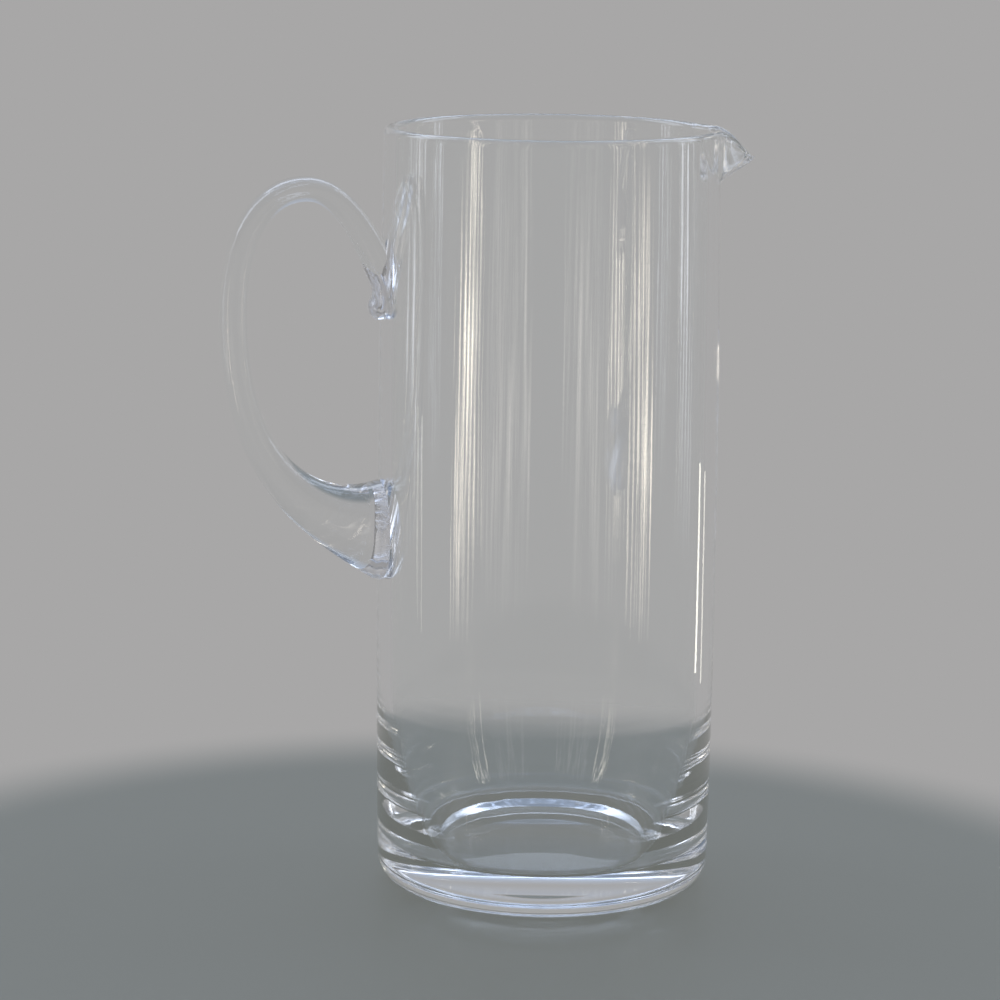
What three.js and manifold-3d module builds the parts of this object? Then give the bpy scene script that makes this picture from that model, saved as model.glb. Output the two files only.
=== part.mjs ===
// Hand-blown glass pitcher: a tall straight body on a heavy base, with a spout pulled out of the hot rim,
// and a handle that is dropped on low, drawn up, pressed on under the rim and flicked off in a short tail.
// Millimetres, +Z up. The origin is on the body's axis at the table. The spout points to +X.

import * as THREE from "three";
import Module from "manifold-3d";

// Body: height, and outside radius at the foot, half way up and at the rim
const BODY_HEIGHT = 240;
const FOOT_RADIUS = 52.6;
const BELLY_RADIUS = 53.4;
const RIM_RADIUS = 51.8;

// Glass of the wall at the floor and at the rim, and of the base
const WALL_LOW = 5.05;
const WALL_HIGH = 3.8;
const BASE_THICKNESS = 12.75;

// The slow thickening of the wall into the floor, the floor's dish, the rounding at the foot,
// the flat ring that it stands on and the shallow hollow inside that ring
const FLOOR_FILLET_WIDE = 9;
const FLOOR_FILLET_HIGH = 45.5;
const FLOOR_FILLET_SQUARENESS = 1.41;
const FLOOR_DISH = 0.8;
const FOOT_ROUNDING = 9;
const FOOT_RING_WIDTH = 7.7;
const PUNT_DEPTH = 1.5;

// Spout: a wide swell gathered out of the wall, and a narrow beak drawn from the middle of it
const SWELL_REACH = 4.2;
const SWELL_HALF_ANGLE = 27;
const SWELL_DEPTH = 17.5;
const BEAK_REACH = 7;
const BEAK_HALF_ANGLE = 14.5;
const BEAK_DEPTH = 16.5;
const BEAK_TIP_ROUNDING = 0.14;
const BEAK_PINCH = 0.3;
const SPOUT_DROP = 8;

// Handle centreline: distances out from the wall, heights from the table and drops from the rim
const HANDLE_TURN = 10;
const FOOT_JOINT_HEIGHT = 115.3;
const GRIP_OUT = 46;
const GRIP_DROP = 57;
const CREST_OUT = 24;
const CREST_DROP = 18.8;
const PAD_DROP = 47;
const PAD_SINK = 0.8;
const TAIL_DROP = 58;
const TAIL_CURL = 3.4;

// Handle sections, each as its thickness in the handle's plane and its width across it
const FOOT_JOINT_THICKNESS = 32;
const FOOT_JOINT_WIDTH = 27;
const GRIP_THICKNESS = 8.8;
const GRIP_WIDTH = 13;
const CREST_THICKNESS = 7.6;
const CREST_WIDTH = 12.5;
const PAD_THICKNESS = 8.6;
const PAD_WIDTH = 13;
const TAIL_THICKNESS = 4.2;
const TAIL_WIDTH = 10.5;
const SECTION_SQUARENESS = 2.5;

// The two gathers of glass are separate solids, so the handle stops this far short of the wall
const WELD_GAP = 0.3;

// Facets round the body, across and outside the spout, and along and round the handle
const SPOUT_STEPS = 36;
const ROUND_STEPS = 54;
const SPOUT_SPAN = 30;
const HANDLE_STEPS = 60;
const HANDLE_SIDES = 18;

const wasm = await Module();
wasm.setup();

// Outside radius of the wall at a height: one parabola through the foot, belly and rim
function wallRadius(z) {
  const t = z / BODY_HEIGHT;
  const low = FOOT_RADIUS * (1 - t) * (1 - 2 * t);
  const middle = BELLY_RADIUS * 4 * t * (1 - t);
  const high = RIM_RADIUS * t * (2 * t - 1);
  return low + middle + high;
}

// Inside radius of the wall at a height: the glass thins evenly towards the rim
function boreRadius(z) {
  const glass = THREE.MathUtils.mapLinear(z, BASE_THICKNESS, BODY_HEIGHT, WALL_LOW, WALL_HIGH);
  return wallRadius(z) - glass;
}

// Points (radius, height) on an arc, angles in degrees from the outward direction
function arc(centre, radius, from, to, steps) {
  const points = [];
  for (let i = 0; i <= steps; i += 1) {
    const a = THREE.MathUtils.degToRad(from + ((to - from) * i) / steps);
    points.push(new THREE.Vector2(centre.x + radius * Math.cos(a), centre.y + radius * Math.sin(a)));
  }
  return points;
}

// Points up or down a wall whose radius is a function of the height
function climb(radiusAt, from, to, steps) {
  const points = [];
  for (let i = 0; i <= steps; i += 1) {
    const z = from + ((to - from) * i) / steps;
    points.push(new THREE.Vector2(radiusAt(z), z));
  }
  return points;
}

// Points of a shallow dish from one radius to another, deepest on the axis
function dish(edge, from, to, level, depth, steps) {
  const points = [];
  for (let i = 0; i <= steps; i += 1) {
    const r = from + ((to - from) * i) / steps;
    points.push(new THREE.Vector2(r, level + depth * (1 - (r / edge) ** 2)));
  }
  return points;
}

// Points of the thickening from wall to floor: a quarter of an oval, drawn long up the wall
function thicken(centre, steps) {
  const points = [];
  for (let i = 1; i <= steps; i += 1) {
    const a = ((Math.PI / 2) * i) / steps;
    const out = Math.cos(a) ** (2 / FLOOR_FILLET_SQUARENESS);
    const down = Math.sin(a) ** (2 / FLOOR_FILLET_SQUARENESS);
    points.push(new THREE.Vector2(centre.x + FLOOR_FILLET_WIDE * out, centre.y - FLOOR_FILLET_HIGH * down));
  }
  return points;
}

// The whole section of the glass, from the middle of the underside round to the middle of the floor
function bodyProfile() {
  const footCentre = new THREE.Vector2(wallRadius(FOOT_ROUNDING) - FOOT_ROUNDING, FOOT_ROUNDING);
  const puntRadius = footCentre.x - FOOT_RING_WIDTH;
  const punt = dish(puntRadius, 0, puntRadius, 0, PUNT_DEPTH, 4);
  const foot = arc(footCentre, FOOT_ROUNDING, -90, 0, 6);
  const spoutFoot = BODY_HEIGHT - Math.max(SWELL_DEPTH, BEAK_DEPTH);
  const polish = WALL_HIGH / 2;
  const neck = BODY_HEIGHT - polish;
  const rimCentre = new THREE.Vector2(RIM_RADIUS - polish, neck);
  const outside = climb(wallRadius, FOOT_ROUNDING, spoutFoot, 8).slice(1);
  const outsideSpout = climb(wallRadius, spoutFoot, neck, 9).slice(1);
  const rim = arc(rimCentre, polish, 0, 180, 10).slice(1, -1);
  const insideSpout = climb(boreRadius, neck, spoutFoot, 9);
  const filletTop = BASE_THICKNESS + FLOOR_FILLET_HIGH;
  const inside = climb(boreRadius, spoutFoot, filletTop, 6).slice(1);
  const filletCentre = new THREE.Vector2(boreRadius(filletTop) - FLOOR_FILLET_WIDE, filletTop);
  const fillet = thicken(filletCentre, 10);
  const floor = dish(filletCentre.x, filletCentre.x, 0, BASE_THICKNESS, -FLOOR_DISH, 4).slice(1);
  return [...punt, ...foot, ...outside, ...outsideSpout, ...rim, ...insideSpout, ...inside, ...fillet, ...floor];
}

// Share of a cone's height at a distance from its middle, with the point and the foot rounded off
function softCone(distance) {
  const round = BEAK_TIP_ROUNDING;
  const slope = (Math.hypot(distance, round) - round) / (Math.hypot(1, round) - round);
  return (1 - slope) ** 1.2;
}

// How much of the pull reaches an angle from the spout's middle and a depth below the rim
function spoutShares(angle, depth) {
  const wide = Math.min(1, Math.hypot(angle / SWELL_HALF_ANGLE, depth / SWELL_DEPTH));
  const narrow = Math.min(1, Math.hypot(angle / BEAK_HALF_ANGLE, depth / BEAK_DEPTH));
  const swell = (1 - wide ** 2) ** 2;
  const beak = softCone(narrow);
  return { swell, beak, reach: SWELL_REACH * swell + BEAK_REACH * beak };
}

// Where the hot glass goes when the spout is pulled: out along +X, in to the middle and down at the tip
function pullSpout(point, angle) {
  const depth = BODY_HEIGHT - point.z;
  const here = spoutShares(angle, depth);
  const lip = spoutShares(angle, 0).beak;
  const below = Math.max(0, 1 - depth / BEAK_DEPTH);
  point.x += here.reach;
  point.y *= 1 - BEAK_PINCH * here.beak;
  point.z -= SPOUT_DROP * THREE.MathUtils.smoothstep(lip, 0, 1) * below;
  return point;
}

// Angles round the body in degrees: close together across the spout, wider apart behind it
function bodyAngles() {
  const angles = [];
  for (let i = 0; i < SPOUT_STEPS; i += 1) {
    angles.push(-SPOUT_SPAN + (2 * SPOUT_SPAN * i) / SPOUT_STEPS);
  }
  for (let i = 0; i < ROUND_STEPS; i += 1) {
    angles.push(SPOUT_SPAN + ((360 - 2 * SPOUT_SPAN) * i) / ROUND_STEPS);
  }
  return angles;
}

// One closed skin over a row of rings, with a single point before the first ring and after the last
function skin(start, rings, end) {
  const sides = rings[0].length;
  const points = [start, ...rings.flat(), end];
  const last = points.length - 1;
  const at = (ring, side) => 1 + ring * sides + (side % sides);
  const faces = [];
  for (let side = 0; side < sides; side += 1) {
    faces.push(0, at(0, side + 1), at(0, side));
    faces.push(last, at(rings.length - 1, side), at(rings.length - 1, side + 1));
    for (let ring = 0; ring + 1 < rings.length; ring += 1) {
      faces.push(at(ring, side), at(ring, side + 1), at(ring + 1, side + 1));
      faces.push(at(ring, side), at(ring + 1, side + 1), at(ring + 1, side));
    }
  }
  const geometry = new THREE.BufferGeometry().setFromPoints(points);
  geometry.setIndex(faces);
  return geometry;
}

// The body: the section carried round the axis, with the spout pulled out of the rim
function bodyGeometry() {
  const profile = bodyProfile();
  const angles = bodyAngles();
  const rings = profile.slice(1, -1).map((p) =>
    angles.map((degrees) => {
      const a = THREE.MathUtils.degToRad(degrees);
      const point = new THREE.Vector3(p.x * Math.cos(a), p.x * Math.sin(a), p.y);
      return pullSpout(point, degrees > 180 ? 360 - degrees : Math.abs(degrees));
    }),
  );
  const under = new THREE.Vector3(0, 0, profile[0].y);
  const floor = new THREE.Vector3(0, 0, profile[profile.length - 1].y);
  return skin(under, rings, floor);
}

// A point in the handle's plane, x out from the axis
function planePoint(out, z) {
  return new THREE.Vector3(out, 0, z);
}

// The handle's centreline: out of the wall, up to the grip, over the crest, down on to the wall, and away
function handlePath() {
  const joint = planePoint(wallRadius(FOOT_JOINT_HEIGHT), FOOT_JOINT_HEIGHT);
  const grip = planePoint(wallRadius(BODY_HEIGHT - GRIP_DROP) + GRIP_OUT, BODY_HEIGHT - GRIP_DROP);
  const crest = planePoint(wallRadius(BODY_HEIGHT - CREST_DROP) + CREST_OUT, BODY_HEIGHT - CREST_DROP);
  const pad = planePoint(wallRadius(BODY_HEIGHT - PAD_DROP) - PAD_SINK, BODY_HEIGHT - PAD_DROP);
  const tail = planePoint(wallRadius(BODY_HEIGHT - TAIL_DROP) + TAIL_CURL, BODY_HEIGHT - TAIL_DROP);
  const out = grip.x - joint.x;
  const rise = grip.z - joint.z;
  const leave = planePoint(joint.x + 0.55 * out, joint.z + 0.06 * rise);
  const inward = joint.clone().sub(leave).normalize();
  const root = joint.clone().addScaledVector(inward, WALL_LOW);
  const path = new THREE.CurvePath();
  path.add(new THREE.LineCurve3(root, joint));
  path.add(new THREE.CubicBezierCurve3(joint, leave, planePoint(grip.x, grip.z - 0.68 * rise), grip));
  path.add(
    new THREE.CubicBezierCurve3(
      grip,
      planePoint(grip.x, grip.z + 0.62 * (crest.z - grip.z)),
      planePoint(crest.x + 0.62 * (grip.x - crest.x), crest.z),
      crest,
    ),
  );
  const approach = planePoint(pad.x + 0.2 * (crest.x - pad.x), pad.z + 0.42 * (crest.z - pad.z));
  const onward = pad.clone().sub(approach).normalize();
  const press = pad.clone().addScaledVector(onward, 0.35 * (pad.z - tail.z));
  const curl = planePoint(pad.x + 0.1 * TAIL_CURL, pad.z - 0.75 * (pad.z - tail.z));
  path.add(
    new THREE.CubicBezierCurve3(
      crest,
      planePoint(crest.x - 0.48 * (crest.x - pad.x), crest.z),
      approach,
      pad,
    ),
  );
  path.add(new THREE.CubicBezierCurve3(pad, press, curl, tail));
  return path;
}

// Thickness and width of the handle at each end of its stretches, from inside the wall to the tail
const SECTIONS = [
  [FOOT_JOINT_THICKNESS, FOOT_JOINT_WIDTH],
  [FOOT_JOINT_THICKNESS, FOOT_JOINT_WIDTH],
  [GRIP_THICKNESS, GRIP_WIDTH],
  [CREST_THICKNESS, CREST_WIDTH],
  [PAD_THICKNESS, PAD_WIDTH],
  [TAIL_THICKNESS, TAIL_WIDTH],
];

// Thickness and width at a share of one stretch: the foot's flare dies away fast, the rest blends evenly
function handleSection(stretch, share) {
  const [thickFrom, wideFrom] = SECTIONS[stretch];
  const [thickTo, wideTo] = SECTIONS[stretch + 1];
  const blend = stretch === 1 ? 1 - (1 - share) ** 3.9 : THREE.MathUtils.smoothstep(share, 0, 1);
  const thickness = THREE.MathUtils.lerp(thickFrom, thickTo, blend);
  const width = THREE.MathUtils.lerp(wideFrom, wideTo, blend);
  return { thickness, width };
}

// One ring of the handle: a squarish oval across the centreline
function sectionRing(centre, tangent, thickness, width) {
  const normal = new THREE.Vector3(-tangent.z, 0, tangent.x);
  const ring = [];
  for (let i = 0; i < HANDLE_SIDES; i += 1) {
    const a = (2 * Math.PI * i) / HANDLE_SIDES;
    const reach = (Math.abs(Math.cos(a)) ** SECTION_SQUARENESS + Math.abs(Math.sin(a)) ** SECTION_SQUARENESS);
    const k = reach ** (-1 / SECTION_SQUARENESS);
    const point = centre.clone().addScaledVector(normal, (k * Math.cos(a) * thickness) / 2);
    point.y -= (k * Math.sin(a) * width) / 2;
    ring.push(point);
  }
  return ring;
}

// The handle before it meets the wall: sections along the centreline, with a rounded tail tip
function handleSweep() {
  const path = handlePath();
  const lengths = path.getCurveLengths();
  const total = lengths[lengths.length - 1];
  const tip = TAIL_THICKNESS / 2 / total;
  const stations = [];
  for (let i = 0; i <= HANDLE_STEPS; i += 1) {
    stations.push({ at: (i / HANDLE_STEPS) * (1 - tip), size: 1 });
  }
  for (let i = 1; i < 4; i += 1) {
    const a = (i * Math.PI) / 8;
    stations.push({ at: 1 - tip + tip * Math.sin(a), size: Math.cos(a) });
  }
  const rings = stations.map(({ at, size }) => {
    const along = at * total;
    const stretch = lengths.findIndex((end) => along <= end + 1e-6);
    const begin = stretch === 0 ? 0 : lengths[stretch - 1];
    const share = (along - begin) / (lengths[stretch] - begin);
    const section = handleSection(stretch, share);
    const tangent = path.curves[stretch].getTangentAt(Math.min(1, share));
    const centre = path.curves[stretch].getPointAt(Math.min(1, share));
    const width = section.width - (1 - size) * section.thickness;
    return sectionRing(centre, tangent, section.thickness * size, width);
  });
  return skin(path.getPoint(0), rings, path.getPoint(1));
}

// The body's outside as a plain round solid, larger by the weld gap, to trim the handle's ends
function wallTrim() {
  const outside = climb(wallRadius, 0, BODY_HEIGHT, 24);
  const points = outside.map((p) => new THREE.Vector2(p.x + WELD_GAP, p.y));
  points.unshift(new THREE.Vector2(0, 0));
  points.push(new THREE.Vector2(0, BODY_HEIGHT));
  return new THREE.LatheGeometry(points, 180).rotateX(Math.PI / 2);
}

// A closed geometry as a solid for joining and cutting
function toSolid(geometry) {
  const merged = new Map();
  const position = geometry.attributes.position;
  const vertices = [];
  const seat = [];
  for (let i = 0; i < position.count; i += 1) {
    const xyz = [position.getX(i), position.getY(i), position.getZ(i)];
    const key = xyz.map((v) => Math.round(v * 1e4)).join();
    if (!merged.has(key)) {
      merged.set(key, vertices.length / 3);
      vertices.push(...xyz);
    }
    seat.push(merged.get(key));
  }
  const corners = Array.from(geometry.index.array, (i) => seat[i]);
  const triangles = [];
  for (let i = 0; i < corners.length; i += 3) {
    const [a, b, c] = corners.slice(i, i + 3);
    if (a !== b && b !== c && c !== a) {
      triangles.push(a, b, c);
    }
  }
  const vertProperties = new Float32Array(vertices);
  const triVerts = new Uint32Array(triangles);
  return new wasm.Manifold(new wasm.Mesh({ numProp: 3, vertProperties, triVerts }));
}

// A solid back as a geometry
function toGeometry(solid) {
  const mesh = solid.getMesh();
  const geometry = new THREE.BufferGeometry();
  geometry.setAttribute("position", new THREE.BufferAttribute(Float32Array.from(mesh.vertProperties), 3));
  geometry.setIndex(Array.from(mesh.triVerts));
  return geometry;
}

// The handle, trimmed to the wall, turned to the back of the body
function handleGeometry() {
  const trimmed = toSolid(handleSweep()).subtract(toSolid(wallTrim()));
  const pieces = trimmed.decompose();
  const outer = pieces.reduce((a, b) => (a.volume() > b.volume() ? a : b));
  return toGeometry(outer).rotateZ(THREE.MathUtils.degToRad(180 + HANDLE_TURN));
}

function glassPiece(name, geometry, colour) {
  const material = new THREE.MeshStandardMaterial({ color: colour, roughness: 0.03, metalness: 0 });
  const shaded = geometry.index ? geometry : geometry.clone();
  shaded.computeVertexNormals();
  const mesh = new THREE.Mesh(shaded, material);
  mesh.name = name;
  return mesh;
}

const pitcher = new THREE.Group();
pitcher.name = "pitcher";
pitcher.add(glassPiece("body", bodyGeometry(), "#dfe6e4"));
pitcher.add(glassPiece("handle", handleGeometry(), "#d9e1df"));

export default pitcher;
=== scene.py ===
"""Looks of a hand-blown clear glass pitcher: its body and handle as fine smooth surfaces, and a plain studio."""

import bpy
import numpy as np
from mathutils import Matrix, Vector


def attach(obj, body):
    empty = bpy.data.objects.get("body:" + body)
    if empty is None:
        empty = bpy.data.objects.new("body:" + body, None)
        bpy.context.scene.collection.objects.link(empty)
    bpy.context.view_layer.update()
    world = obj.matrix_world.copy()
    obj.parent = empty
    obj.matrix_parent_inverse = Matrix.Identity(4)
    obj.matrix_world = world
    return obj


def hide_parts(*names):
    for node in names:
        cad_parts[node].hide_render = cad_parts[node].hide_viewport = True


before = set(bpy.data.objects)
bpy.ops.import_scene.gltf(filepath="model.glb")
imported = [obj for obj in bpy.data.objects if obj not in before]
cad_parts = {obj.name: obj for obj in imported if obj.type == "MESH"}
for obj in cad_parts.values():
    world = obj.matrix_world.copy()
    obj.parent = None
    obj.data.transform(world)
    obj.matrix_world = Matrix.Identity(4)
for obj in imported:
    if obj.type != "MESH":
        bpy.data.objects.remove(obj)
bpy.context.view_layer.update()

MM = 0.001

# Body: height, outside radii, glass thickness and roundings, in millimetres
BODY_HEIGHT = 240.0
FOOT_RADIUS = 52.6
BELLY_RADIUS = 53.4
RIM_RADIUS = 51.8
WALL_LOW = 5.05
WALL_HIGH = 3.8
BASE_THICKNESS = 12.75
FLOOR_FILLET_WIDE = 9.0
FLOOR_FILLET_HIGH = 45.5
FLOOR_FILLET_SQUARENESS = 1.41
FLOOR_DISH = 0.8
FOOT_ROUNDING = 9.0
FOOT_RING_WIDTH = 7.7
PUNT_DEPTH = 1.5

# Spout: a wide swell gathered out of the wall, and a narrow beak drawn from the middle of it
SWELL_REACH = 4.2
SWELL_HALF_ANGLE = 27.0
SWELL_DEPTH = 17.5
BEAK_REACH = 7.0
BEAK_HALF_ANGLE = 14.5
BEAK_DEPTH = 16.5
BEAK_TIP_ROUNDING = 0.14
BEAK_FLANK_POWER = 1.2
BEAK_PINCH = 0.3
SPOUT_DROP = 8.0

# Handle: degrees off the spout's line, the centreline's places, pulls of its curves as shares, (thickness, width)
HANDLE_TURN = 10.0
FOOT_JOINT_HEIGHT = 115.3
GRIP_OUT = 46.0
GRIP_DROP = 57.0
CREST_OUT = 24.0
CREST_DROP = 18.8
PAD_DROP = 47.0
PAD_SINK = 0.8
TAIL_DROP = 58.0
TAIL_CURL = 3.4
FOOT_PULL = (0.55, 0.06)
GRIP_PULL = 0.68
BEND_PULL = 0.62
CREST_PULL = 0.48
PAD_PULL = (0.2, 0.42)
TAIL_START_PULL = 0.35
TAIL_END_PULL = (0.1, 0.75)
FOOT_JOINT = (32.0, 27.0)
GRIP = (8.8, 13.0)
CREST = (7.6, 12.5)
PAD = (9.6, 13.0)
TAIL = (6.6, 10.5)
SECTION_SQUARENESS = 2.5
FLARE_POWER = 3.9
FLARE_LENGTH = 22.0
WELD_GAP = 0.01

# Grid of the surfaces: half spans of close columns in degrees, columns in each span, and lengths in millimetres
SPOUT_SPAN = 30
HANDLE_SPAN = 22
SPAN_STEPS = (80, 72, 60, 60)
JOINT_ROWS_FROM = 94
WELD_SEARCH = 14
NOT_NEAR = 99.0

# Ripples left in the hot glass: millimetres between crests across and along, and their depth
CORDS_FINE = (1.1, 160.0, 0.004)
CORDS_BROAD = (6.5, 120.0, 0.012)
TURN_MARKS = (45.0, 3.4, 0.015)
BLOWN_WAVES = (38.0, 45.0, 0.05)
DRAW_LINES = (1.6, 70.0, 0.004)
DRAWN_WAVES = (9.0, 26.0, 0.03)

# Glass: tint, bending, trace of glow, the joint's veil, hand film (patch size, most roughness) and the foot's scuffs
GLASS_TINT = "#FCFDFD"
GLASS_IOR = 1.51
GUIDED_GLOW = 0.005
VEIL_TINT = "#F8F8F9"
BODY_FILM = (26, 0.02)
GRIP_FILM = (18, 0.03)
FILM_EDGES = (0.52, 0.75)
SCUFF_SIZE = 1.4
SCUFF_HEIGHT = 0.25
SCUFF_ROUGHNESS = 0.3

# Studio floor: its tone, the round in which the backdrop's tone takes over in millimetres, half its width in metres
FLOOR_TONE = "#7F827E"
FLOOR_ROUGHNESS = 0.35
FLOOR_GLOW_SHARE = 0.6
FLOOR_MIDDLE = (-20, -69)
FLOOR_FADE = (200, 262)
FLOOR_HALF_WIDTH = 3.0

# Studio room: each range is a part of the view direction, up or to the back, over which one tone turns into the next
BACKDROP_TONE = "#A8A7A7"
DAYLIGHT_TONE = "#C2DAFF"
DAYLIGHT_RISE = (0.25, 0.8)
DIM_LEVEL = 0.35
DIM_TO_BACK = (-0.1, 0.75)
DIM_RISE = (0.15, 0.3)

# Camera: place in metres, degrees down and of roll, and focal length over sensor width
CAMERA_PLACE = (-0.0148, -1.093, 0.331)
CAMERA_DOWN = 10.8
CAMERA_ROLL = 0.70
SENSOR_WIDTH = 36.0
LENS_TO_SENSOR = 3.534

# Lamps: what they aim at, their slats (shift of the pattern, cut into dark and light, gain, faded ends) and tints
LAMP_AIM = (0, 0, 0.12)
SLAT_SHIFT = 50
SLAT_CUT = (0.5, 0.68)
SLAT_GAIN = 3.0
SLAT_FADE = 0.35
SKY_TINT = "#C4D8FF"
WINDOW_TINT = "#E2ECFF"
SIDE_TINT = "#EEF3FF"
WARM_TINT = "#FFF4E2"
PALE_WARM_TINT = "#FFF8EE"
EDGE_TINT = "#FFFBEC"

# Bounces that light may take inside the glass, and through the joint
GLASS_BOUNCES = 128
JOINT_BOUNCES = 64


def linear(hex_colour):
    """sRGB hex to linear RGBA: each channel over 12.92 when dark, else ((c + 0.055) / 1.055) to the power 2.4."""
    c = np.array([int(hex_colour[i : i + 2], 16) for i in (1, 3, 5)]) / 255
    low = c / 12.92
    high = ((c + 0.055) / 1.055) ** 2.4
    return (*np.where(c <= 0.04045, low, high), 1.0)


def smooth(x):
    """0 below 0, 1 above 1, and 3x squared minus 2x cubed between."""
    x = np.clip(x, 0, 1)
    return x * x * (3 - 2 * x)


def wall_radius(z):
    """Outside radius at a height: the parabola through the foot, belly and rim radii."""
    t = z / BODY_HEIGHT
    low = FOOT_RADIUS * (1 - t) * (1 - 2 * t)
    middle = BELLY_RADIUS * 4 * t * (1 - t)
    high = RIM_RADIUS * t * (2 * t - 1)
    return low + middle + high


def bore_radius(z):
    """Inside radius at a height: the outside less glass that thins evenly towards the rim."""
    share = (z - BASE_THICKNESS) / (BODY_HEIGHT - BASE_THICKNESS)
    return wall_radius(z) - (WALL_LOW + (WALL_HIGH - WALL_LOW) * share)


def arc(centre, reach, start, stop, steps):
    """Points (radius, height) on an ellipse's arc, angles in degrees from the outward direction."""
    a = np.radians(np.linspace(start, stop, steps + 1))
    return np.stack([centre[0] + reach[0] * np.cos(a), centre[1] + reach[1] * np.sin(a)], 1)


def climb(radius_at, heights):
    """Points up or down a wall whose radius is a function of the height."""
    return np.stack([radius_at(heights), heights], 1)


def body_profile():
    """The section of the glass from the middle of the underside, round the foot, up the wall, over the rim, down the
    bore and round to the middle of the floor, as (radius, height) rows. Also says which rows are outside wall."""
    foot_centre = (wall_radius(FOOT_ROUNDING) - FOOT_ROUNDING, FOOT_ROUNDING)
    punt_radius = foot_centre[0] - FOOT_RING_WIDTH
    r = np.linspace(0, punt_radius, 20)
    punt = np.stack([r, PUNT_DEPTH * (1 - (r / punt_radius) ** 2)], 1)
    ring = np.stack([np.linspace(punt_radius, foot_centre[0], 5), np.zeros(5)], 1)[1:-1]
    foot = arc(foot_centre, (FOOT_ROUNDING, FOOT_ROUNDING), -90, 0, 18)
    spout_foot = BODY_HEIGHT - max(SWELL_DEPTH, BEAK_DEPTH)
    polish = WALL_HIGH / 2
    neck = BODY_HEIGHT - polish
    low = np.linspace(FOOT_ROUNDING, JOINT_ROWS_FROM, 18)[1:]
    joined = np.linspace(JOINT_ROWS_FROM, spout_foot, 106)[1:]
    pulled = np.linspace(spout_foot, neck, 34)[1:]
    outside = climb(wall_radius, np.concatenate([low, joined, pulled]))
    rim = arc((RIM_RADIUS - polish, neck), (polish, polish), 0, 180, 26)[1:-1]
    fillet_top = BASE_THICKNESS + FLOOR_FILLET_HIGH
    down = np.concatenate([np.linspace(neck, spout_foot, 34), np.linspace(spout_foot, fillet_top, 24)[1:]])
    inside = climb(bore_radius, down)
    fillet_centre = (bore_radius(fillet_top) - FLOOR_FILLET_WIDE, fillet_top)
    a = np.radians(np.linspace(0, 90, 61))[1:]
    bend = np.stack([np.maximum(np.cos(a), 0), np.sin(a)], 1) ** (2 / FLOOR_FILLET_SQUARENESS)
    fillet = fillet_centre + bend * (FLOOR_FILLET_WIDE, -FLOOR_FILLET_HIGH)
    r = np.linspace(fillet_centre[0], 0, 16)[1:]
    floor = np.stack([r, BASE_THICKNESS - FLOOR_DISH * (1 - (r / fillet_centre[0]) ** 2)], 1)
    parts = [punt, ring, foot, outside, rim, inside, fillet, floor]
    start = len(punt) + len(ring) + len(foot)
    is_wall = np.zeros(sum(map(len, parts)), bool)
    is_wall[start : start + len(outside)] = True
    return np.concatenate(parts), is_wall


def soft_cone(distance):
    """Share of a cone's height at a distance from its middle, with the point and the foot rounded off."""
    k = BEAK_TIP_ROUNDING
    slope = (np.hypot(distance, k) - k) / (np.hypot(1, k) - k)
    return np.clip(1 - slope, 0, 1) ** BEAK_FLANK_POWER


def pull_spout(points, angle):
    """Moves hot glass as the spout is pulled: out along +X by a wide swell and a narrow beak, in towards the middle,
    and down at the tip, each dying away with the angle from the spout and the depth below the rim."""
    x, y, z = np.moveaxis(points, -1, 0)
    depth = BODY_HEIGHT - z
    wide = np.minimum(1, np.hypot(angle / SWELL_HALF_ANGLE, depth / SWELL_DEPTH))
    narrow = np.minimum(1, np.hypot(angle / BEAK_HALF_ANGLE, depth / BEAK_DEPTH))
    swell = (1 - wide**2) ** 2
    beak = soft_cone(narrow)
    lip = soft_cone(np.minimum(1, np.abs(angle) / BEAK_HALF_ANGLE))
    below = np.maximum(0, 1 - depth / BEAK_DEPTH)
    x = x + SWELL_REACH * swell + BEAK_REACH * beak
    y = y * (1 - BEAK_PINCH * beak)
    z = z - SPOUT_DROP * smooth(lip) * below
    return np.stack([x, y, z], -1)


def body_angles():
    """Angles round the body in degrees, close together across the spout and the handle, wider elsewhere."""
    handle = 180 + HANDLE_TURN
    stops = (-SPOUT_SPAN, SPOUT_SPAN, handle - HANDLE_SPAN, handle + HANDLE_SPAN, 360 - SPOUT_SPAN)
    spans = zip(stops[:-1], stops[1:], SPAN_STEPS)
    return np.concatenate([np.linspace(a, b, n, endpoint=False) for a, b, n in spans])


def skin(rings, start, end):
    """Points and faces of one closed skin over a row of rings of points, with a single point before the first ring and
    after the last."""
    rows, sides = rings.shape[:2]
    points = np.concatenate([[start], rings.reshape(-1, 3), [end]])
    index = 1 + np.arange(rows * sides).reshape(rows, sides)
    after = np.roll(index, -1, axis=1)
    quads = np.stack([index[:-1], after[:-1], after[1:], index[1:]], -1).reshape(-1, 4)
    first = np.stack([np.zeros(sides, int), after[0], index[0]], -1)
    last = np.stack([np.full(sides, len(points) - 1), index[-1], after[-1]], -1)
    return points, quads, np.concatenate([first, last])


def settle(grid, off):
    """Slides grid points (rows, columns, 2) on to the line where off is 0: of each grid edge that crosses the line, the
    nearer end moves along that edge. Gives the moved grid, and -1 inside the line, 0 on it and 1 outside."""
    best = np.full(off.shape, np.inf)
    moved = grid.copy()
    for axis in (0, 1):
        for step in (1, -1):
            other = np.roll(off, -step, axis)
            there = np.roll(grid, -step, axis)
            share = np.where(off * other < 0, off / np.where(off == other, 1, off - other), np.inf)
            take = (share <= 0.5) & (share < best)
            best = np.where(take, share, best)
            moved = np.where(take[..., None], grid + np.where(take, share, 0)[..., None] * (there - grid), moved)
    return moved, np.where(np.isfinite(best), 0, np.sign(off)).astype(int)


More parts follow.
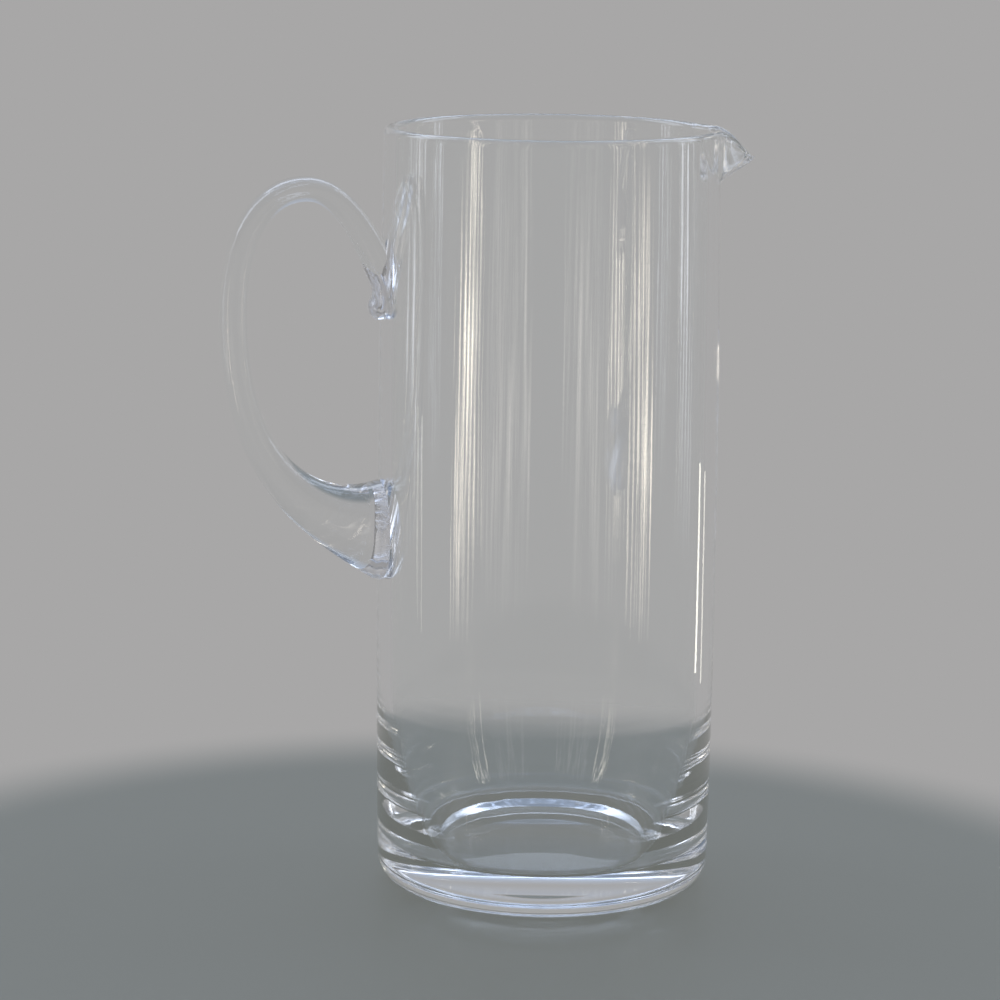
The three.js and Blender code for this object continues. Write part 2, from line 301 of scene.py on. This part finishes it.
def make_mesh(name, points, quads, triangles, side):
    """A smooth mesh object from points in millimetres. Side is -1 for points inside a weld, 0 on its edge, 1 outside:
    faces inside get the second material slot, and quads across the edge are cut in two along it."""
    at = side[quads]
    across = (at.min(1) < 0) & (at.max(1) > 0)
    cut, plain = quads[across], quads[~across]
    turn = side[cut[:, 0]] != 0
    cut[turn] = np.roll(cut[turn], -1, axis=1)
    triangles = np.concatenate([triangles, cut[:, [0, 1, 2]], cut[:, [0, 2, 3]]])
    welded = [(side[f].max(1) <= 0) & (side[f].min(1) < 0) for f in (plain, triangles)]
    mesh = bpy.data.meshes.new(name)
    mesh.from_pydata((points * MM).tolist(), [], plain.tolist() + triangles.tolist())
    mesh.polygons.foreach_set("use_smooth", np.ones(len(mesh.polygons), bool))
    mesh.polygons.foreach_set("material_index", np.concatenate(welded).astype(np.int32))
    ends = np.zeros(2 * len(mesh.edges), np.int32)
    mesh.edges.foreach_get("vertices", ends)
    crease = (side[ends.reshape(-1, 2)] == 0).all(1)
    mesh.attributes.new("sharp_edge", "BOOLEAN", "EDGE").data.foreach_set("value", crease)
    mesh.update()
    piece = bpy.data.objects.new(name, mesh)
    bpy.context.scene.collection.objects.link(piece)
    return piece


def off_outline(turn, z, outline):
    """How far places on the wall (degrees from the handle's middle, height) lie outside a closed outline, in
    millimetres: the distance from the outline's middle less the outline's own distance in that direction."""
    wide = np.radians(1) * BELLY_RADIUS
    across, up = outline[:, 0] * wide, outline[:, 1]
    middle = np.array([(across.max() + across.min()) / 2, (up.max() + up.min()) / 2])
    direction = np.arctan2(up - middle[1], across - middle[0])
    order = np.argsort(direction)
    reach = np.hypot(across - middle[0], up - middle[1])
    x, y = turn * wide - middle[0], z - middle[1]
    return np.hypot(x, y) - np.interp(np.arctan2(y, x), direction[order], reach[order], period=2 * np.pi)


def make_body(outlines):
    """The section carried round the axis, with the spout pulled out of the rim. Where the handle is fused on, inside
    the outlines (degrees, height), the wall's faces belong to the joint."""
    profile, is_wall = body_profile()
    degrees = body_angles()
    rows = profile[1:-1]
    shape = (len(rows), len(degrees))
    turn = np.broadcast_to(degrees - (180 + HANDLE_TURN), shape)
    z = np.broadcast_to(rows[:, 1:], shape)
    wall = is_wall[1:-1]
    off = np.min([off_outline(turn, z, outline) for outline in outlines], axis=0)
    off = np.where(wall[:, None], off, NOT_NEAR)
    grid, side = settle(np.stack([turn, z], -1), off)
    a = np.radians(grid[..., 0] + 180 + HANDLE_TURN)
    z = grid[..., 1]
    r = np.where(wall[:, None], wall_radius(z), rows[:, :1])
    rings = np.stack([r * np.cos(a), r * np.sin(a), z], -1)
    from_spout = np.abs((degrees + 180) % 360 - 180)
    rings = pull_spout(rings, from_spout[None, :])
    side = np.concatenate([[1], side.ravel(), [1]])
    return make_mesh("body_glass", *skin(rings, (0, 0, profile[0, 1]), (0, 0, profile[-1, 1])), side)


def bezier(p, t):
    """Points and directions of a cubic curve with four control points."""
    p = np.asarray(p, float)
    t = t[:, None]
    s = 1 - t
    point = s**3 * p[0] + 3 * s**2 * t * p[1] + 3 * s * t**2 * p[2] + t**3 * p[3]
    along = 3 * s**2 * (p[1] - p[0]) + 6 * s * t * (p[2] - p[1]) + 3 * t**2 * (p[3] - p[2])
    return point, along / np.linalg.norm(along, axis=1, keepdims=True)


def handle_line():
    """The handle's centreline (out, up) by length: out of the wall, up to the grip, over the crest, down on to the wall
    and away in the tail. Five curves end to end, as a fine table of length, place and direction, with their ends."""
    at = lambda drop, out: np.array([wall_radius(BODY_HEIGHT - drop) + out, BODY_HEIGHT - drop])
    joint = np.array([wall_radius(FOOT_JOINT_HEIGHT), FOOT_JOINT_HEIGHT])
    grip = at(GRIP_DROP, GRIP_OUT)
    crest = at(CREST_DROP, CREST_OUT)
    pad = at(PAD_DROP, -PAD_SINK)
    tail = at(TAIL_DROP, TAIL_CURL)
    out, rise = grip - joint
    leave = joint + (FOOT_PULL[0] * out, FOOT_PULL[1] * rise)
    inward = (joint - leave) / np.linalg.norm(joint - leave)
    root = joint + WALL_LOW * inward
    climb_up = (grip[0], grip[1] + BEND_PULL * (crest - grip)[1])
    bend_over = (crest[0] + BEND_PULL * (grip - crest)[0], crest[1])
    over = crest - pad
    fall = pad[1] - tail[1]
    approach = pad + over * PAD_PULL
    onward = (pad - approach) / np.linalg.norm(pad - approach)
    lift = pad + (TAIL_END_PULL[0] * TAIL_CURL, -TAIL_END_PULL[1] * fall)
    curves = [
        [root, root + (joint - root) / 3, root + (joint - root) * 2 / 3, joint],
        [joint, leave, grip - (0, GRIP_PULL * rise), grip],
        [grip, climb_up, bend_over, crest],
        [crest, (crest[0] - CREST_PULL * over[0], crest[1]), approach, pad],
        [pad, pad + TAIL_START_PULL * fall * onward, lift, tail],
    ]
    t = np.linspace(0, 1, 601)
    places, ways, ends = [], [], [0.0]
    for curve in curves:
        place, way = bezier(curve, t)
        places.append(place if not places else place[1:])
        ways.append(way if not ways else way[1:])
        ends.append(ends[-1] + np.linalg.norm(np.diff(place, axis=0), axis=1).sum())
    places = np.concatenate(places)
    ways = np.concatenate(ways)
    length = np.concatenate([[0], np.cumsum(np.linalg.norm(np.diff(places, axis=0), axis=1))])
    return length, places, ways, np.array(ends)


def handle_sections(length, ends):
    """Thickness and width at lengths along the handle: the foot's flare dies away fast, the rest blends evenly."""
    stops = np.array([FOOT_JOINT, FOOT_JOINT, GRIP, CREST, PAD, TAIL])
    stretch = np.clip(np.searchsorted(ends, length, side="right") - 1, 0, 4)
    share = np.clip((length - ends[stretch]) / (ends[stretch + 1] - ends[stretch]), 0, 1)
    blend = np.where(stretch == 1, 1 - (1 - share) ** FLARE_POWER, smooth(share))[..., None]
    size = stops[stretch] * (1 - blend) + stops[stretch + 1] * blend
    return size[..., 0], size[..., 1]


def handle_points(s, a, tip):
    """Points of the handle at lengths s and angles a round it: a squarish oval across the centreline, closed by a
    round tail tip that begins a tip's length before the end."""
    length, places, ways, ends = handle_line()
    centre = [np.interp(s, length, places[:, i]) for i in (0, 1)]
    way = [np.interp(s, length, ways[:, i]) for i in (0, 1)]
    thickness, width = handle_sections(s, ends)
    into = np.clip((s - (ends[-1] - tip)) / tip, 0, 1)
    size = np.sqrt(np.maximum(0, 1 - into**2))
    width = width - (1 - size) * thickness
    thickness = thickness * size
    c, d = np.cos(a), np.sin(a)
    k = (np.abs(c) ** SECTION_SQUARENESS + np.abs(d) ** SECTION_SQUARENESS) ** (-1 / SECTION_SQUARENESS)
    off = k * c * thickness / 2
    return np.stack([centre[0] - way[1] * off, -k * d * width / 2, centre[1] + way[0] * off], -1)


def to_back(points):
    """Turns the handle from its plane to the back of the body."""
    t = np.radians(180 + HANDLE_TURN)
    x, y, z = np.moveaxis(points, -1, 0)
    return np.stack([x * np.cos(t) - y * np.sin(t), x * np.sin(t) + y * np.cos(t), z], -1)


def off_wall(points):
    """How far points lie outside the wall and the weld's hair of a gap."""
    return np.hypot(points[..., 0], points[..., 1]) - wall_radius(points[..., 2]) - WELD_GAP


def on_wall(points, where):
    """Moves points straight in or out on to the wall, where asked."""
    k = np.where(where, (wall_radius(points[..., 2]) + WELD_GAP) / np.hypot(points[..., 0], points[..., 1]), 1)
    return points * np.stack([k, k, np.ones_like(k)], -1)


def make_handle(sides=96, flare=60, steps=300):
    """Sections carried along the centreline. Each line along the handle starts where it leaves the wall, the foot is
    closed by a patch on the wall, and the pad is pressed flat on it. Also gives the outlines (degrees, height) of the
    two places where it is fused to the wall."""
    ends = handle_line()[3]
    tip = TAIL[0] / 2
    a = np.linspace(0, 2 * np.pi, sides, endpoint=False)
    s = np.linspace(0, ends[1] + WELD_SEARCH, 900)
    clear = off_wall(handle_points(s[:, None] + 0 * a, a + 0 * s[:, None], tip))
    first = np.argmax(clear > 0, axis=0)
    column = np.arange(sides)
    before, after = clear[first - 1, column], clear[first, column]
    start = s[first - 1] + (s[1] - s[0]) * before / (before - after)
    shared = ends[1] + FLARE_LENGTH
    share = np.linspace(0, 1, flare)[:, None]
    low = start + (shared - start) * share
    high = np.linspace(shared, ends[-1] - tip, steps)[1:, None] + 0 * a
    end = ends[-1] - tip + tip * np.sin(np.radians(np.linspace(0, 90, 14)[1:-1]))[:, None] + 0 * a
    along = np.concatenate([low, high, end])
    grid = np.stack([along, a + 0 * along], -1)
    clear = np.where(along > ends[3], off_wall(handle_points(along, grid[..., 1], tip)), 1.0)
    grid, side = settle(grid, clear)
    rings = on_wall(handle_points(grid[..., 0], grid[..., 1], tip), side <= 0)
    side[0] = 0
    rings[0] = on_wall(rings[0], True)
    middle = rings[0].mean(0)
    shrink = np.linspace(0, 1, 10)[1:-1, None, None]
    patch = on_wall(middle + (rings[0] - middle) * shrink, True)
    middle = on_wall(middle, True)
    welds = (rings[0], rings[1:][side[1:] == 0])
    outlines = [np.stack([np.degrees(np.arctan2(p[:, 1], p[:, 0])), p[:, 2]], 1) for p in welds]
    rings = np.concatenate([patch, rings])
    side = np.concatenate([-np.ones(1 + patch[..., 0].size, int), side.ravel(), [1]])
    last = handle_points(np.array([ends[-1]]), np.array([0.0]), tip)[0]
    piece = make_mesh("handle_glass", *skin(to_back(rings), to_back(middle), to_back(last)), side)
    around = GRIP[1] / 2 * np.stack([np.cos(grid[..., 1]), np.sin(grid[..., 1])], -1)
    line = np.concatenate([around, grid[..., :1]], -1)
    line = np.concatenate([line[:1].repeat(len(patch), 0), line]).reshape(-1, 3)
    line = np.concatenate([line[:1], line, line[-1:]]) * MM
    piece.data.attributes.new("draw_line", "FLOAT_VECTOR", "POINT").data.foreach_set("vector", line.ravel())
    return piece, outlines


def add_node(tree, kind, settings=None, inputs=None, links=None):
    """Adds one node, sets its settings and input values, and links inputs from (node, output) pairs."""
    node = tree.nodes.new(kind)
    for key, value in (settings or {}).items():
        setattr(node, key, value)
    for key, value in (inputs or {}).items():
        node.inputs[key].default_value = value
    for key, (source, output) in (links or {}).items():
        tree.links.new(source.outputs[output], node.inputs[key])
    return node


def new_material(name):
    """An empty node material and its tree."""
    material = bpy.data.materials.new(name)
    material.use_nodes = True
    material.node_tree.nodes.clear()
    material.cycles.emission_sampling = "NONE"
    return material, material.node_tree


def ripple(tree, place, across, along, depth, below=None):
    """Height in millimetres of soft ridges with crests about so many millimetres apart across and along, on top of the
    height below: noise on the place divided by these sizes, times the depth."""
    scaled = add_node(
        tree,
        "ShaderNodeVectorMath",
        {"operation": "MULTIPLY"},
        {1: (1 / (across * MM), 1 / (across * MM), 1 / (along * MM))},
        {0: place},
    )
    noise = add_node(tree, "ShaderNodeTexNoise", inputs={"Scale": 1.0, "Detail": 1.0}, links={"Vector": (scaled, 0)})
    links = {0: (noise, "Fac")}
    if below:
        links[2] = below
    return add_node(tree, "ShaderNodeMath", {"operation": "MULTIPLY_ADD"}, {1: depth, 2: 0.0}, links), 0


def smudges(tree, place, size, most):
    """Roughness of the faint film that hands leave: soft patches about so many millimetres across, bare between."""
    noise = add_node(
        tree, "ShaderNodeTexNoise", inputs={"Scale": 1 / (size * MM), "Detail": 3.0}, links={"Vector": place}
    )
    return add_node(
        tree,
        "ShaderNodeMapRange",
        inputs={"From Min": FILM_EDGES[0], "From Max": FILM_EDGES[1], "To Max": most},
        links={"Value": (noise, "Fac")},
    )


def finish_glass(tree, height, roughness):
    """Soda-lime glass with a faint cool tint, its height in millimetres as bump. The trace of glow stands for light
    that the wall leads round for longer than its bounces are followed, and keeps such places from going black."""
    bump = add_node(tree, "ShaderNodeBump", inputs={"Strength": 1.0, "Distance": MM}, links={"Height": height})
    glass = add_node(
        tree,
        "ShaderNodeBsdfPrincipled",
        inputs={
            "Base Color": linear(GLASS_TINT),
            "IOR": GLASS_IOR,
            "Transmission Weight": 1.0,
            "Emission Color": linear(BACKDROP_TONE),
            "Emission Strength": GUIDED_GLOW,
        },
        links={"Roughness": roughness, "Normal": (bump, "Normal")},
    )
    add_node(tree, "ShaderNodeOutputMaterial", links={"Surface": (glass, "BSDF")})


def blown_glass():
    """Soda-lime glass, blown and fire-polished: mirror-smooth, but with cords that run up the wall and break a lamp's
    reflection into fine upright lines, faint level marks from turning it in a wooden block, a slow waviness, and a dull
    ring of scuffs where the foot slides on tables."""
    material, tree = new_material("blown_soda_lime_glass")
    place = add_node(tree, "ShaderNodeTexCoord"), "Object"
    facing = add_node(tree, "ShaderNodeNewGeometry")
    tilt = add_node(
        tree, "ShaderNodeVectorMath", {"operation": "DOT_PRODUCT"}, {1: (0, 0, 1)}, {0: (facing, "Normal")}
    )
    flat = add_node(
        tree, "ShaderNodeMath", {"operation": "MULTIPLY"}, links={0: (tilt, "Value"), 1: (tilt, "Value")}
    )
    upright = add_node(tree, "ShaderNodeMath", {"operation": "SUBTRACT"}, {0: 1.0}, {1: (flat, 0)})
    cords = ripple(tree, place, *CORDS_FINE)
    cords = ripple(tree, place, *CORDS_BROAD, cords)
    cords = ripple(tree, place, *TURN_MARKS, cords)
    cords = add_node(tree, "ShaderNodeMath", {"operation": "MULTIPLY"}, links={0: cords, 1: (upright, 0)})
    height = ripple(tree, place, *BLOWN_WAVES, (cords, 0))
    film = smudges(tree, place, *BODY_FILM)
    low = add_node(tree, "ShaderNodeSeparateXYZ", links={0: place})
    scuffs = add_node(
        tree, "ShaderNodeTexNoise", inputs={"Scale": 1 / (SCUFF_SIZE * MM), "Detail": 4.0}, links={"Vector": place}
    )
    ring = add_node(
        tree,
        "ShaderNodeMapRange",
        inputs={"From Min": SCUFF_HEIGHT * MM, "From Max": 0.0, "To Max": SCUFF_ROUGHNESS},
        links={"Value": (low, "Z")},
    )
    worn = add_node(
        tree,
        "ShaderNodeMath",
        {"operation": "MULTIPLY_ADD"},
        links={0: (scuffs, "Fac"), 1: (ring, "Result"), 2: (film, "Result")},
    )
    finish_glass(tree, height, (worn, 0))
    return material


def drawn_glass():
    """The same glass drawn out by hand into a handle: fire-polished, with long draw lines that follow it, and the film
    that a hand leaves on the grip."""
    material, tree = new_material("drawn_soda_lime_glass")
    place = add_node(tree, "ShaderNodeAttribute", {"attribute_name": "draw_line"}), "Vector"
    height = ripple(tree, place, *DRAW_LINES)
    height = ripple(tree, place, *DRAWN_WAVES, height)
    film = smudges(tree, place, *GRIP_FILM)
    finish_glass(tree, height, (film, "Result"))
    return material


def fused_joint():
    """Glass fused to glass, hot: the two gathers are one there, so no face is left for light to bend or mirror at, only
    a faint veil of the finest bubbles, trapped when they met."""
    material, tree = new_material("fused_glass_joint")
    through = add_node(tree, "ShaderNodeBsdfTransparent", inputs={"Color": linear(VEIL_TINT)})
    add_node(tree, "ShaderNodeOutputMaterial", links={"Surface": (through, "BSDF")})
    return material


def studio_floor():
    """Matt pale floor paint that gives way to the backdrop's own tone in a soft round, so that no edge of the floor
    crosses the glass: the share of backdrop is a smooth step of the distance from the round's middle."""
    material, tree = new_material("pale_floor_paint")
    place = add_node(tree, "ShaderNodeTexCoord")
    from_middle = add_node(
        tree,
        "ShaderNodeVectorMath",
        {"operation": "DISTANCE"},
        {1: (FLOOR_MIDDLE[0] * MM, FLOOR_MIDDLE[1] * MM, 0)},
        {0: (place, "Object")},
    )
    far = add_node(
        tree,
        "ShaderNodeMapRange",
        {"interpolation_type": "SMOOTHSTEP"},
        {"From Min": FLOOR_FADE[0] * MM, "From Max": FLOOR_FADE[1] * MM},
        {"Value": (from_middle, "Value")},
    )
    paint = add_node(
        tree, "ShaderNodeBsdfPrincipled", inputs={"Base Color": linear(FLOOR_TONE), "Roughness": FLOOR_ROUGHNESS}
    )
    glow = add_node(tree, "ShaderNodeEmission", inputs={"Color": linear(FLOOR_TONE), "Strength": 1.0})
    lit = add_node(
        tree, "ShaderNodeMixShader", inputs={0: FLOOR_GLOW_SHARE}, links={1: (paint, "BSDF"), 2: (glow, "Emission")}
    )
    backdrop = add_node(tree, "ShaderNodeEmission", inputs={"Color": linear(BACKDROP_TONE), "Strength": 1.0})
    both = add_node(
        tree,
        "ShaderNodeMixShader",
        links={0: (far, "Result"), 1: (lit, "Shader"), 2: (backdrop, "Emission")},
    )
    add_node(tree, "ShaderNodeOutputMaterial", links={"Surface": (both, "Shader")})
    return material


def make_floor():
    """A flat square of floor."""
    size = FLOOR_HALF_WIDTH
    mesh = bpy.data.meshes.new("floor")
    mesh.from_pydata([(-size, -size, 0), (size, -size, 0), (size, size, 0), (-size, size, 0)], [], [(0, 1, 2, 3)])
    piece = bpy.data.objects.new("floor", mesh)
    bpy.context.scene.collection.objects.link(piece)
    piece.data.materials.append(studio_floor())
    return piece


def add_softbox(name, place, size, radiance, tint, slats=None):
    """A soft lamp aimed at the middle of the pitcher, placed and sized in metres, with an even brightness over its
    face, or behind uneven slats, so many across and so many breaks along."""
    lamp = bpy.data.lights.new(name, "AREA")
    lamp.shape = "RECTANGLE"
    lamp.size, lamp.size_y = size
    lamp.energy = radiance * np.pi * size[0] * size[1]
    lamp.color = linear(tint)[:3]
    obj = bpy.data.objects.new(name, lamp)
    aim = Vector(LAMP_AIM) - Vector(place)
    obj.location = place
    obj.rotation_euler = aim.to_track_quat("-Z", "Y").to_euler()
    obj.visible_camera = False
    bpy.context.scene.collection.objects.link(obj)
    if slats:
        add_slats(lamp, slats, place[0] * SLAT_SHIFT)


def add_slats(lamp, slats, shift):
    """Uneven slats in front of a lamp: noise on the face's own place, shifted, cut into light and dark, that fades
    towards the lower and upper ends."""
    lamp.use_nodes = True
    tree = lamp.node_tree
    tree.nodes.clear()
    face = add_node(tree, "ShaderNodeNewGeometry")
    across = add_node(
        tree,
        "ShaderNodeVectorMath",
        {"operation": "MULTIPLY_ADD"},
        {1: (*slats, 0), 2: (shift, 0, 0)},
        {0: (face, "Parametric")},
    )
    noise = add_node(tree, "ShaderNodeTexNoise", inputs={"Scale": 1.0, "Detail": 1.0}, links={"Vector": (across, 0)})
    ends = add_node(tree, "ShaderNodeSeparateXYZ", links={0: (face, "Parametric")})
    ends = add_node(tree, "ShaderNodeMath", {"operation": "PINGPONG"}, {1: 0.5}, {0: (ends, "Y")})
    fade = add_node(
        tree, "ShaderNodeMapRange", inputs={"From Max": SLAT_FADE, "To Max": SLAT_GAIN}, links={"Value": (ends, 0)}
    )
    cut = add_node(
        tree,
        "ShaderNodeMapRange",
        inputs={"From Min": SLAT_CUT[0], "From Max": SLAT_CUT[1]},
        links={"Value": (noise, "Fac"), "To Max": (fade, "Result")},
    )
    light = add_node(tree, "ShaderNodeEmission", links={"Strength": (cut, "Result")})
    add_node(tree, "ShaderNodeOutputLight", links={"Surface": (light, 0)})


def round_pitcher(degrees, distance, height):
    """A place round the pitcher, by degrees to the right of the camera's side."""
    a = np.radians(degrees)
    return (distance * np.sin(a), -distance * np.cos(a), height)


def make_world():
    """The studio all round: the backdrop's tone behind the pitcher and low down, a dim room higher up on the camera's
    side, so that the glass edges have something darker to bend, and soft cool daylight from overhead."""
    world = bpy.data.worlds.new("studio")
    bpy.context.scene.world = world
    world.use_nodes = True
    tree = world.node_tree
    tree.nodes.clear()
    way = add_node(tree, "ShaderNodeTexCoord"), "Generated"
    parts = add_node(tree, "ShaderNodeSeparateXYZ", links={0: way})
    up = add_node(
        tree,
        "ShaderNodeMapRange",
        inputs={"From Min": DAYLIGHT_RISE[0], "From Max": DAYLIGHT_RISE[1]},
        links={"Value": (parts, "Z")},
    )
    tone = add_node(
        tree,
        "ShaderNodeMix",
        {"data_type": "RGBA"},
        {6: linear(BACKDROP_TONE), 7: linear(DAYLIGHT_TONE)},
        {0: (up, "Result")},
    )
    back = add_node(
        tree,
        "ShaderNodeMapRange",
        inputs={"From Min": DIM_TO_BACK[0], "From Max": DIM_TO_BACK[1], "To Min": DIM_LEVEL, "To Max": 1.0},
        links={"Value": (parts, "Y")},
    )
    level = add_node(
        tree,
        "ShaderNodeMapRange",
        inputs={"From Min": DIM_RISE[0], "From Max": DIM_RISE[1], "To Min": 1.0},
        links={"Value": (parts, "Z"), "To Max": (back, "Result")},
    )
    shade = add_node(tree, "ShaderNodeBackground", links={"Color": (tone, 2), "Strength": (level, "Result")})
    add_node(tree, "ShaderNodeOutputWorld", links={"Surface": (shade, "Background")})


def make_camera():
    """The photograph's viewpoint: about 1.1 m in front and 0.33 m up, looking a little down and slightly rolled."""
    pitch, roll = np.radians(CAMERA_DOWN), np.radians(CAMERA_ROLL)
    ahead = Vector((0, np.cos(pitch), -np.sin(pitch)))
    right = Vector((1, 0, 0))
    up = right.cross(ahead)
    across = right * np.cos(roll) + up * np.sin(roll)
    above = up * np.cos(roll) - right * np.sin(roll)
    data = bpy.data.cameras.new("photo_camera")
    data.sensor_width = SENSOR_WIDTH
    data.lens = SENSOR_WIDTH * LENS_TO_SENSOR
    obj = bpy.data.objects.new("photo_camera", data)
    turn = Matrix((across, above, -ahead)).transposed().to_4x4()
    obj.matrix_world = Matrix.Translation(CAMERA_PLACE) @ turn
    bpy.context.scene.collection.objects.link(obj)
    bpy.context.scene.camera = obj


make_camera()

weld = fused_joint()
handle, joints = make_handle()
body = make_body(joints)
for piece, node, glass in ((body, "body", blown_glass()), (handle, "handle", drawn_glass())):
    piece.data.materials.append(glass)
    piece.data.materials.append(weld)
    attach(piece, "root")
    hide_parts(node)

make_floor()
make_world()

# Lamps: name, place, size, brightness, tint and slats
lamps = (
    ("top", (0.0, 0.3, 1.4), (2.2, 1.8), 0.8, SKY_TINT, (9, 12)),
    ("back", (0.0, 1.25, 1.35), (2.2, 0.5), 2.2, WINDOW_TINT),
    ("back_left", (-1.3, 0.5, 1.15), (0.6, 1.2), 2.4, WINDOW_TINT),
    ("back_right", (1.3, 0.5, 1.15), (0.6, 1.2), 2.0, WINDOW_TINT),
    ("left", round_pitcher(-57, 0.42, 0.105), (0.1, 0.22), 4.0, WARM_TINT, (9, 1.6)),
    ("right", round_pitcher(62, 0.42, 0.105), (0.11, 0.22), 4.0, WARM_TINT, (9, 1.6)),
    ("front_left", round_pitcher(-27, 0.42, 0.105), (0.22, 0.2), 0.6, PALE_WARM_TINT, (15, 1.6)),
    ("front_right", round_pitcher(30, 0.42, 0.105), (0.22, 0.2), 0.6, PALE_WARM_TINT, (15, 1.6)),
    ("left_side", round_pitcher(-102, 0.5, 0.2), (0.1, 0.4), 1.9, SIDE_TINT, (7, 1.5)),
    ("right_side", round_pitcher(102, 0.5, 0.2), (0.1, 0.4), 1.7, SIDE_TINT, (7, 1.5)),
    ("edge", round_pitcher(123.3, 0.3, 0.045), (0.008, 0.085), 2.8, EDGE_TINT),
)
for name, *lamp in lamps:
    add_softbox(name + "_softbox", *lamp)

scene = bpy.context.scene
scene.view_settings.view_transform = "Standard"
scene.cycles.max_bounces = GLASS_BOUNCES
scene.cycles.transmission_bounces = GLASS_BOUNCES
scene.cycles.glossy_bounces = GLASS_BOUNCES
scene.cycles.transparent_max_bounces = JOINT_BOUNCES
